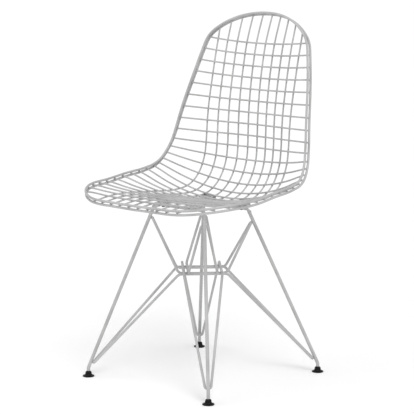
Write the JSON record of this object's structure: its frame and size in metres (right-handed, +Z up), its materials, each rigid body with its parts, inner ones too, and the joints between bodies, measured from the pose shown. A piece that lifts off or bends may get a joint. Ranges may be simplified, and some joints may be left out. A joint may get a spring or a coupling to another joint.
{
  "type": "wire mesh chair",
  "caption": "Side chair with a one-piece wire mesh bucket seat and back in a double wire rim, on two wire leg hoops braced by crossed wire struts, with tilting glides.",
  "frame": {"origin": "on the floor, under the middle of the chair", "axes": "+Z up, the sitter faces -Y, +X is at the left hand of someone who sits in the chair. Left and right in the names are as seen from the front, so left is -X"},
  "size_m": [0.4706, 0.4766, 0.8372],
  "materials": {
    "powder_coat": "satin light grey powder coat on steel wire",
    "glide_plastic": "black matte plastic",
    "pad_rubber": "black rubber",
    "dark_screw": "black oxide screw",
    "stud_steel": "turned zinc plated steel"
  },
  "bodies": {
    "chair": {"cross_wire_01": "powder_coat", "cross_wire_02": "powder_coat", "cross_wire_03": "powder_coat", "cross_wire_04": "powder_coat", "cross_wire_05": "powder_coat", "cross_wire_06": "powder_coat", "cross_wire_07": "powder_coat", "cross_wire_08": "powder_coat", "cross_wire_09": "powder_coat", "cross_wire_10": "powder_coat", "cross_wire_11": "powder_coat", "cross_wire_12": "powder_coat", "cross_wire_13": "powder_coat", "cross_wire_14": "powder_coat", "cross_wire_15": "powder_coat", "cross_wire_16": "powder_coat", "cross_wire_17": "powder_coat", "cross_wire_18": "powder_coat", "cross_wire_19": "powder_coat", "cross_wire_20": "powder_coat", "cross_wire_21": "powder_coat", "cross_wire_22": "powder_coat", "cross_wire_23": "powder_coat", "cross_wire_24": "powder_coat", "cross_wire_25": "powder_coat", "foot_stud_front_left": "stud_steel", "foot_stud_front_right": "stud_steel", "foot_stud_rear_left": "stud_steel", "foot_stud_rear_right": "stud_steel", "front_leg_hoop": "powder_coat", "long_wire_01": "powder_coat", "long_wire_02": "powder_coat", "long_wire_03": "powder_coat", "long_wire_04": "powder_coat", "long_wire_05": "powder_coat", "long_wire_06": "powder_coat", "long_wire_07": "powder_coat", "long_wire_08": "powder_coat", "long_wire_09": "powder_coat", "long_wire_10": "powder_coat", "lower_strut_left": "powder_coat", "lower_strut_right": "powder_coat", "mount_pad_front_left": "pad_rubber", "mount_pad_front_right": "pad_rubber", "mount_pad_rear_left": "pad_rubber", "mount_pad_rear_right": "pad_rubber", "mount_plate_front_left": "powder_coat", "mount_plate_front_right": "powder_coat", "mount_plate_rear_left": "powder_coat", "mount_plate_rear_right": "powder_coat", "mount_screws": "dark_screw", "rear_leg_hoop": "powder_coat", "rim_wire_inner": "powder_coat", "rim_wire_outer": "powder_coat", "upper_strut_left": "powder_coat", "upper_strut_right": "powder_coat"},
    "front_left_glide": {"glide_front_left": "glide_plastic"},
    "rear_left_glide": {"glide_rear_left": "glide_plastic"},
    "front_right_glide": {"glide_front_right": "glide_plastic"},
    "rear_right_glide": {"glide_rear_right": "glide_plastic"}
  },
  "joints": [
    {"name": "front_left_tilt", "type": "hinge", "parent": "chair", "child": "front_left_glide", "pos_m": [-0.187, -0.1926, 0.0061], "axis": [0.7071, -0.7071, 0], "range_deg": [-4, 4]},
    {"name": "rear_left_tilt", "type": "hinge", "parent": "chair", "child": "rear_left_glide", "pos_m": [-0.187, 0.1954, 0.0061], "axis": [0.7071, 0.7071, 0], "range_deg": [-4, 4]},
    {"name": "front_right_tilt", "type": "hinge", "parent": "chair", "child": "front_right_glide", "pos_m": [0.187, -0.1926, 0.0061], "axis": [0.7071, 0.7071, 0], "range_deg": [-4, 4]},
    {"name": "rear_right_tilt", "type": "hinge", "parent": "chair", "child": "rear_right_glide", "pos_m": [0.187, 0.1954, 0.0061], "axis": [0.7071, -0.7071, 0], "range_deg": [-4, 4]}
  ]
}
